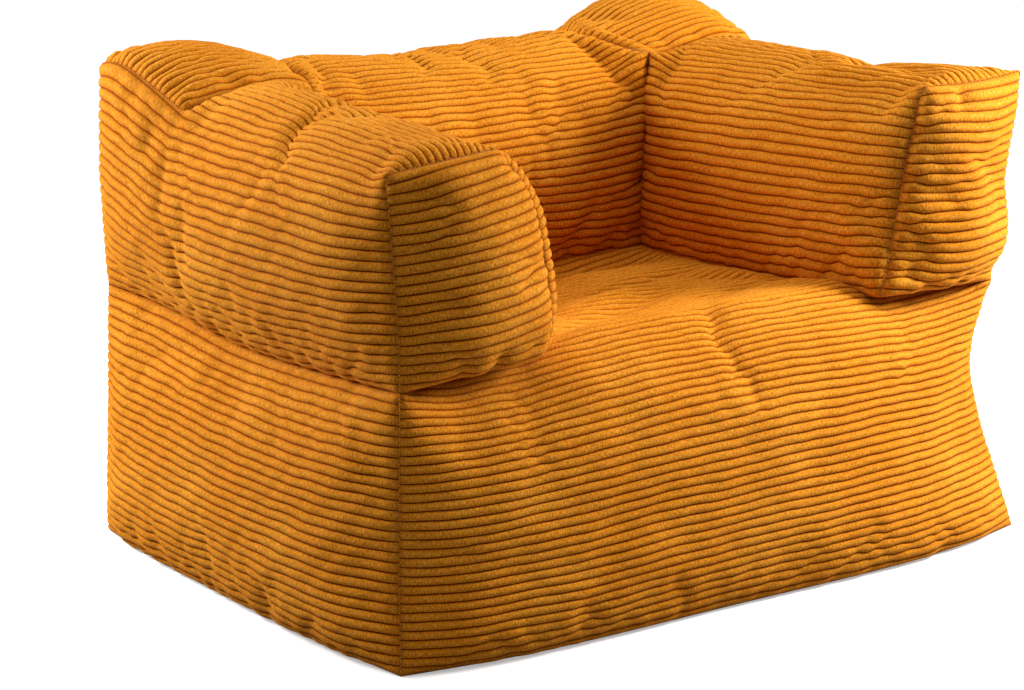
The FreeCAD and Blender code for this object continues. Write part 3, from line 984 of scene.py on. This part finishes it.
def wale_group():
    """Where the grooves between wales are, and the pile that stands across each wale."""
    tree, start, end = group(
        "wales", [("Place", "NodeSocketVector", None), ("Groove", "NodeSocketFloat", 0.6)],
        [("Groove", "NodeSocketFloat"), ("Pile", "NodeSocketFloat"), ("Crest", "NodeSocketFloat")])
    place = node(tree, "ShaderNodeSeparateXYZ", {0: start.outputs["Place"]})
    fraction = math_node(tree, "FRACT", place.outputs[1])
    edge = math_node(tree, "MULTIPLY",
                     math_node(tree, "ABSOLUTE", math_node(tree, "SUBTRACT", fraction, 0.5)), 2.0)
    wander = node(tree, "ShaderNodeCombineXYZ", {
        0: math_node(tree, "MULTIPLY", place.outputs[0], 260.0),
        1: math_node(tree, "MULTIPLY", place.outputs[1], 7.0)})
    ragged = noise(tree, wander.outputs[0], 1.0, 2.0)
    edge_ragged = math_node(tree, "ADD", edge, math_node(
        tree, "MULTIPLY", math_node(tree, "SUBTRACT", ragged, 0.5), 0.16))
    groove = smooth_step(tree, edge_ragged, start.outputs["Groove"], 1.0)
    crest = smooth_step(tree, edge, 0.75, 0.0)
    across = node(tree, "ShaderNodeCombineXYZ", {
        0: math_node(tree, "MULTIPLY", place.outputs[0], 520.0),
        1: math_node(tree, "MULTIPLY", place.outputs[1], 2.6)})
    pile = noise(tree, across.outputs[0], 1.0, 3.0, 0.65)
    tree.links.new(groove, end.inputs["Groove"])
    tree.links.new(pile, end.inputs["Pile"])
    tree.links.new(crest, end.inputs["Crest"])
    return tree


def nap_group():
    """Broad patches where the nap was brushed one way or another, and small flecks."""
    tree, start, end = group(
        "nap", [("Place", "NodeSocketVector", None), ("Patch Size", "NodeSocketFloat", 7.0),
                ("Fleck Size", "NodeSocketFloat", 260.0)],
        [("Patches", "NodeSocketFloat"), ("Flecks", "NodeSocketFloat")])
    patches = noise(tree, start.outputs["Place"], start.outputs["Patch Size"], 3.0, 0.6)
    flecks = noise(tree, start.outputs["Place"], start.outputs["Fleck Size"], 2.0, 0.7)
    tree.links.new(patches, end.inputs["Patches"])
    tree.links.new(flecks, end.inputs["Flecks"])
    return tree


def weave_group():
    """A plain weave on Object coordinates: its threads' height."""
    tree, start, end = group(
        "weave", [("Place", "NodeSocketVector", None), ("Threads", "NodeSocketFloat", 900.0)],
        [("Height", "NodeSocketFloat")])
    scaled = node(tree, "ShaderNodeVectorMath", {0: start.outputs["Place"]}, operation="SCALE")
    tree.links.new(start.outputs["Threads"], scaled.inputs["Scale"])
    axes = node(tree, "ShaderNodeSeparateXYZ", {0: scaled.outputs[0]})
    waves = [math_node(tree, "SINE", axis) for axis in axes.outputs]
    first = math_node(tree, "MULTIPLY", waves[0], waves[1])
    both = math_node(tree, "ADD", first, math_node(tree, "MULTIPLY", waves[0], waves[2]))
    tree.links.new(both, end.inputs["Height"])
    return tree


GROUPS = {}


def placed_group(tree, make, values):
    if make not in GROUPS:
        GROUPS[make] = make()
    made = tree.nodes.new("ShaderNodeGroup")
    made.node_tree = GROUPS[make]
    for key, value in values.items():
        if isinstance(value, bpy.types.NodeSocket):
            tree.links.new(value, made.inputs[key])
        else:
            made.inputs[key].default_value = value
    return made.outputs


def new_material(name, roughness, **settings):
    material = bpy.data.materials.new(name)
    material.use_nodes = True
    tree = material.node_tree
    shader = tree.nodes["Principled BSDF"]
    shader.inputs["Roughness"].default_value = roughness
    for key, value in settings.items():
        shader.inputs[key.replace("_", " ")].default_value = value
    return material, tree, shader


PILE_COLOR = (0.66, 0.205, 0.0040, 1)
BRUSHED_COLOR = (0.78, 0.285, 0.016, 1)
# painted shade: the colour that the grooves and the cloth beside the seams are darkened to
PAINTED_SHADE_COLOR = (0.19, 0.028, 0.0005, 1)
# painted highlight: the lighter colour of flecks on the wales' crests
PAINTED_CREST_HIGHLIGHT = (0.88, 0.39, 0.048, 1)


def corduroy_material():
    material, tree, shader = new_material(
        "amber_corduroy", 0.9, Sheen_Weight=0.10, Sheen_Roughness=0.4,
        Sheen_Tint=(1.0, 0.55, 0.20, 1), Specular_IOR_Level=0.08)
    place = node(tree, "ShaderNodeUVMap", uv_map="wales").outputs[0]
    coordinates = object_coordinates(tree)
    # painted shade near the seams, read from the per-vertex attribute
    seam = node(tree, "ShaderNodeAttribute", attribute_name="seam").outputs["Fac"]
    wales = placed_group(tree, wale_group, {"Place": place, "Groove": 0.70})
    nap = placed_group(tree, nap_group, {"Place": coordinates})
    brushed = smooth_step(tree, math_node(tree, "ADD", nap["Patches"], math_node(
        tree, "MULTIPLY", wales["Pile"], 0.35)), 0.52, 0.95)
    color = mix_color(tree, brushed, PILE_COLOR, BRUSHED_COLOR)
    # painted highlight: lighter flecks on the wales' crests, where light catches the pile
    wear_and_highlight = math_node(tree, "MULTIPLY", wales["Crest"], smooth_step(
        tree, nap["Flecks"], 0.35, 0.70, 0.10, 0.62))
    color = mix_color(tree, wear_and_highlight, color, PAINTED_CREST_HIGHLIGHT)
    pile = smooth_step(tree, wales["Pile"], 0.30, 0.72, 0.66, 1.28)
    color = mix_color(tree, 1.0, color, grey(tree, pile), "MULTIPLY")
    # painted shade: the grooves between wales, and the cloth beside its seams, are darkened to a deeper
    # colour where shade falls
    painted_shade = math_node(tree, "MAXIMUM", math_node(tree, "MULTIPLY", wales["Groove"], 0.85),
                     math_node(tree, "MULTIPLY", seam, 0.22))
    color = mix_color(tree, painted_shade, color, PAINTED_SHADE_COLOR)
    tree.links.new(color, shader.inputs["Base Color"])
    height = math_node(tree, "ADD", wales["Pile"],
                       math_node(tree, "MULTIPLY", nap["Flecks"], 0.6))
    bump = node(tree, "ShaderNodeBump", {"Strength": 0.75, "Distance": 0.0011,
                                         "Height": height})
    tree.links.new(bump.outputs[0], shader.inputs["Normal"])
    return material


def woven_material(name, color, wear_and_highlight, threads=900.0):
    """A smooth woven cloth. worn is its colour where it's rubbed."""
    material, tree, shader = new_material(name, 0.85, Specular_IOR_Level=0.25)
    coordinates = object_coordinates(tree)
    nap = placed_group(tree, nap_group, {"Place": coordinates, "Patch Size": 16.0})
    weave = placed_group(tree, weave_group, {"Place": coordinates, "Threads": threads})
    mixed = mix_color(tree, smooth_step(tree, nap["Patches"], 0.35, 0.7), color, wear_and_highlight)
    shade = smooth_step(tree, weave["Height"], -1.2, 1.2, 0.8, 1.1)
    mixed = mix_color(tree, 1.0, mixed, grey(tree, shade), "MULTIPLY")
    tree.links.new(mixed, shader.inputs["Base Color"])
    bump = node(tree, "ShaderNodeBump", {"Strength": 0.4, "Distance": 0.0003,
                                         "Height": weave["Height"]})
    tree.links.new(bump.outputs[0], shader.inputs["Normal"])
    return material


def hard_material(name, color, wear_and_highlight, roughness, metallic=0.0):
    """Metal or plastic, with finer patches rubbed to another shine."""
    material, tree, shader = new_material(name, roughness, Metallic=metallic)
    coordinates = object_coordinates(tree)
    nap = placed_group(tree, nap_group, {"Place": coordinates, "Patch Size": 320.0,
                                         "Fleck Size": 2200.0})
    rubbed = smooth_step(tree, nap["Patches"], 0.4, 0.7)
    tree.links.new(mix_color(tree, rubbed, color, wear_and_highlight), shader.inputs["Base Color"])
    shine = math_node(tree, "ADD", roughness - 0.08,
                      math_node(tree, "MULTIPLY", nap["Flecks"], 0.22))
    tree.links.new(shine, shader.inputs["Roughness"])
    return material


def bead_material():
    material, tree, shader = new_material("polystyrene_beads", 0.6)
    coordinates = object_coordinates(tree)
    cells = node(tree, "ShaderNodeTexVoronoi", {"Vector": coordinates, "Scale": 260.0})
    shade = smooth_step(tree, cells.outputs["Distance"], 0.0, 0.7, 0.92, 0.55)
    tree.links.new(grey(tree, shade), shader.inputs["Base Color"])
    bump = node(tree, "ShaderNodeBump", {"Strength": 0.8, "Distance": 0.001, "Height": shade})
    tree.links.new(bump.outputs[0], shader.inputs["Normal"])
    return material


# ---------------------------------------------------------------- stitches and label

STITCH, STITCH_GAP, THREAD = 0.0036, 0.0026, 0.00055


def stitch_rows(name, rows):
    """Rows of single stitches. Each row is its line of points and the way it faces."""
    bm = bmesh.new()
    for line, outward in rows:
        length = np.linalg.norm(np.diff(line, axis=0), axis=1).sum()
        stations = evenly(line, max(2, round(length / (STITCH + STITCH_GAP))))
        along = np.gradient(stations, axis=0)
        for place, direction in zip(stations[1:-1], along[1:-1]):
            turn = Vector(direction).to_track_quat("X", "Z").to_matrix().to_4x4()
            size = Matrix.Diagonal((STITCH / 2, THREAD, THREAD, 1))
            middle = Matrix.Translation(Vector(place) + Vector(outward))
            bmesh.ops.create_icosphere(bm, subdivisions=1, radius=1,
                                       matrix=middle @ turn @ size)
    piece = object_of(bm, name)
    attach(piece, "chair")
    return piece


def seam_rows(left, right):
    """The seams whose stitches show."""
    rows = []
    for seams in (left, right):
        ahead, beside = (0, -0.0008, 0), (seams.side * 0.0006, -0.0006, 0)
        rows += [(seams.front_top, (0, -0.0006, 0.0008)), (seams.front_inner, ahead),
                 (seams.front_outer, beside), (seams.patch_front, (0, 0, 0.001)),
                 (seams.patch_outer, (seams.side * 0.0006, 0, 0.0008)),
                 (seams.patch_inner, (0, 0, 0.001)), (seams.patch_rear, (0, 0.0006, 0.0008))]
    rows += [(BaseSeams.corner_front_left, (-0.0006, -0.0006, 0)),
             (BaseSeams.corner_front_right, (0.0006, -0.0006, 0)),
             (BaseSeams.corner_rear_left, (-0.0006, 0.0006, 0)),
             (BaseSeams.corner_rear_right, (0.0006, 0.0006, 0))]
    return rows


def zip_stitch_rows():
    """One row of topstitching above the zip's slot and one below it."""
    x = np.linspace(-SLOT_HALF_LENGTH, SLOT_HALF_LENGTH, 60)
    rows = []
    for side in (-1, 1):
        z = ZIP_MIDDLE.z + side * (SLOT_HALF_HEIGHT + 0.0035)
        line = np.stack([x, np.full_like(x, wall_plane(z)), np.full_like(x, z)], axis=1)
        rows.append((line, (0, 0.0014, 0)))
    return rows


LABEL_CLOTH = 0.0006
LABEL_CLEAR = 0.0015                             # from the wales' crests to the label


def care_label(wall):
    """A blank woven label that lies on the wales above the zip."""
    low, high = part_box("care_label")
    bm = bmesh.new()
    bmesh.ops.create_grid(bm, x_segments=30, y_segments=18, size=1)
    column = np.argmin(np.abs(wall.grid[10, :, 0] - (low.x + high.x) / 2))
    heights, depths = wall.grid[:, column, 2], wall.grid[:, column, 1]
    for vertex in bm.verts:
        x = (low.x + high.x) / 2 + vertex.co.x * (high.x - low.x) / 2
        z = (low.z + high.z) / 2 + vertex.co.y * (high.z - low.z) / 2
        y = np.interp(z, heights, depths) + PUFF + WALE_HEIGHT + LABEL_CLEAR
        curl = 0.0012 * vertex.co.y ** 2 * math.cos(vertex.co.x * 2)
        vertex.co = (x, y + curl + 0.0004 * math.sin(z * 480), z)
    bmesh.ops.recalc_face_normals(bm, faces=bm.faces[:])
    face = bm.faces[:][0]
    if face.normal.y < 0:
        bmesh.ops.reverse_faces(bm, faces=bm.faces[:])
    piece = object_of(bm, "woven_care_label")
    thicken(piece, LABEL_CLOTH)
    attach(piece, "chair")
    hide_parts("care_label")
    return piece


def finish_zips():
    """Finishes for the zips' own solids, which stay as they are."""
    tape = woven_material("zip_tape_weave", (0.46, 0.155, 0.012, 1), (0.54, 0.20, 0.02, 1),
                          threads=1500.0)
    coil = hard_material("zip_coil_nylon", (0.50, 0.17, 0.014, 1), (0.60, 0.24, 0.03, 1), 0.35)
    metal = hard_material("brass_zip_metal", (0.62, 0.50, 0.30, 1), (0.72, 0.62, 0.42, 1),
                          0.28, metallic=1.0)
    pale_tape = woven_material("liner_tape_weave", (0.70, 0.69, 0.66, 1),
                               (0.78, 0.77, 0.74, 1), threads=1500.0)
    pale_coil = hard_material("liner_coil_nylon", (0.78, 0.77, 0.74, 1),
                              (0.84, 0.83, 0.80, 1), 0.4)
    pale_metal = hard_material("nickel_zip_metal", (0.62, 0.61, 0.60, 1),
                               (0.74, 0.73, 0.72, 1), 0.3, metallic=1.0)
    finishes = {"cover_zip": (tape, coil, metal), "liner_zip": (pale_tape, pale_coil, pale_metal)}
    for name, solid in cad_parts.items():
        if name[:9] not in finishes:
            continue
        of_tape, of_coil, of_metal = finishes[name[:9]]
        if name.endswith("tape"):
            finish = of_tape
        elif name.endswith(("coil", "stops")):
            finish = of_coil
        else:
            finish = of_metal
        for slot in solid.material_slots:
            slot.material = finish


# ---------------------------------------------------------------- the chair

def dress():
    base = base_panels()
    left, right = arm_panels("left", left_seams), arm_panels("right", right_seams)
    back = back_panels(left_seams, right_seams)
    panels = base + left + right + back
    settle(panels)
    seat = by_name(panels, "seat_and_front_panel")
    seat.grid[WALL:] = pressed_by_ring(seat.grid[WALL:])
    add_folds(panels)
    corduroy = corduroy_material()
    seam_cloth = woven_material("seam_cloth", (0.40, 0.13, 0.012, 1), (0.47, 0.17, 0.02, 1))
    bottom_cloth = woven_material("bottom_cloth", (0.34, 0.105, 0.008, 1),
                                  (0.42, 0.14, 0.014, 1), threads=700.0)
    liner_cloth = woven_material("liner_cloth", (0.74, 0.73, 0.70, 1), (0.80, 0.79, 0.77, 1))
    beads = bead_material()
    for panel in panels:
        if panel.wales:
            piece = raise_wales(panel)
            piece.data.materials.append(corduroy)
        else:
            if panel.name == "base_bottom_panel":
                slot, cloth = "bottom_cloth", bottom_cloth
            else:
                slot, cloth = "inner_seam_cloth", seam_cloth
            plain_piece(panel, slot).data.materials.append(cloth)
    sides = back[-2:]
    for name, around in (("base", base), ("left_arm", left + sides[:1]),
                         ("right_arm", right + sides[1:]), ("back", back)):
        behind_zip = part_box("cover_zip_upper_tape")[1].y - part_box("liner_zip_upper_tape")[0].y
        channel = behind_zip + 0.004 if name == "base" else None
        liner = bag(name + "_liner_bag", around, 0.006, "liner_cloth", 0.001, channel)
        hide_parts(name + "_liner")
        liner.data.materials.append(liner_cloth)
        channel = channel + 0.003 if channel else None
        filling = bag(name + "_bead_filling", around, 0.009, "bead_filling", None, channel)
        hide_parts(name + "_filling")
        filling.data.materials.append(beads)
    thread = woven_material("sewing_thread", (0.72, 0.30, 0.05, 1), (0.80, 0.38, 0.09, 1),
                            threads=4000.0)
    stitches = stitch_rows("seam_stitches", seam_rows(left_seams, right_seams))
    stitches.data.materials.append(thread)
    topstitching = stitch_rows("zip_topstitching", zip_stitch_rows())
    topstitching.data.materials.append(thread)
    label_weave = woven_material("label_weave", (0.80, 0.79, 0.76, 1), (0.86, 0.85, 0.83, 1),
                                 threads=2200.0)
    care_label(by_name(panels, "base_rear_panel")).data.materials.append(label_weave)
    finish_zips()


# ---------------------------------------------------------------- studio

AZIMUTH, ELEVATION, ROLL = -34.62, 13.93, -0.97
TARGET = Vector((-0.110, -0.059, 0.296))
DISTANCE = 4.079
LENS = 105.5


def place_camera():
    azimuth, elevation = math.radians(AZIMUTH), math.radians(ELEVATION)
    back = Vector((math.sin(azimuth) * math.cos(elevation),
                   -math.cos(azimuth) * math.cos(elevation), math.sin(elevation)))
    camera = bpy.data.cameras.new("camera")
    camera.lens = LENS
    camera.sensor_width = 36
    camera.clip_end = 50
    holder = placed("camera", camera)
    holder.location = TARGET + back * DISTANCE
    turn = (-back).to_track_quat("-Z", "Y")
    holder.rotation_mode = "QUATERNION"
    holder.rotation_quaternion = turn @ Quaternion((0, 0, 1), math.radians(ROLL))
    bpy.context.scene.camera = holder


def soft_light(name, place, size, power):
    light = bpy.data.lights.new(name, "AREA")
    light.shape = "RECTANGLE"
    light.size, light.size_y = size
    light.energy = power
    lamp = placed(name, light)
    lamp.location = place
    aim = Vector((0, 0, 0.3)) - Vector(place)
    lamp.rotation_mode = "QUATERNION"
    lamp.rotation_quaternion = aim.to_track_quat("-Z", "Y")


def studio():
    bm = bmesh.new()
    bmesh.ops.create_grid(bm, x_segments=2, y_segments=2, size=30)
    floor = placed("floor", mesh_of(bm, "floor"))
    paint, tree, shader = new_material("floor_paint", 0.9, Specular_IOR_Level=0.0,
                                       Emission_Strength=0.42)
    seen = tree.nodes.new("ShaderNodeLightPath").outputs["Is Camera Ray"]
    tree.links.new(mix_color(tree, seen, (0.30, 0.29, 0.28, 1), (0.93, 0.93, 0.93, 1)),
                   shader.inputs["Base Color"])
    tree.links.new(mix_color(tree, seen, (0, 0, 0, 1), (1, 1, 1, 1)),
                   shader.inputs["Emission Color"])
    floor.data.materials.append(paint)
    for name, place, size, power in LIGHTS:
        soft_light(name, place, size, power)
    bpy.context.scene.world = overhead_sky()
    bpy.context.scene.view_settings.view_transform = "Standard"


# Name, place, width and height, and power in watts
LIGHTS = (
    ("front_right", (1.50, -1.08, 1.15), (0.6, 0.6), 60),
    ("left_rear", (-1.42, 1.22, 1.10), (0.7, 0.7), 39),
)
SKY_LOW, SKY_HIGH = 0.03, 1.65                   # the sky's light at the horizon and overhead


def overhead_sky():
    """A room that is bright overhead and dim at eye level."""
    world = bpy.data.worlds.new("studio")
    world.use_nodes = True
    tree = world.node_tree
    direction = tree.nodes.new("ShaderNodeTexCoord").outputs["Generated"]
    height = node(tree, "ShaderNodeSeparateXYZ", {0: direction}).outputs[2]
    strength = smooth_step(tree, height, 0.55, 1.0, SKY_LOW, SKY_HIGH)
    background = tree.nodes["Background"]
    background.inputs["Color"].default_value = (1, 1, 1, 1)
    tree.links.new(strength, background.inputs["Strength"])
    return world


dress()
studio()
place_camera()
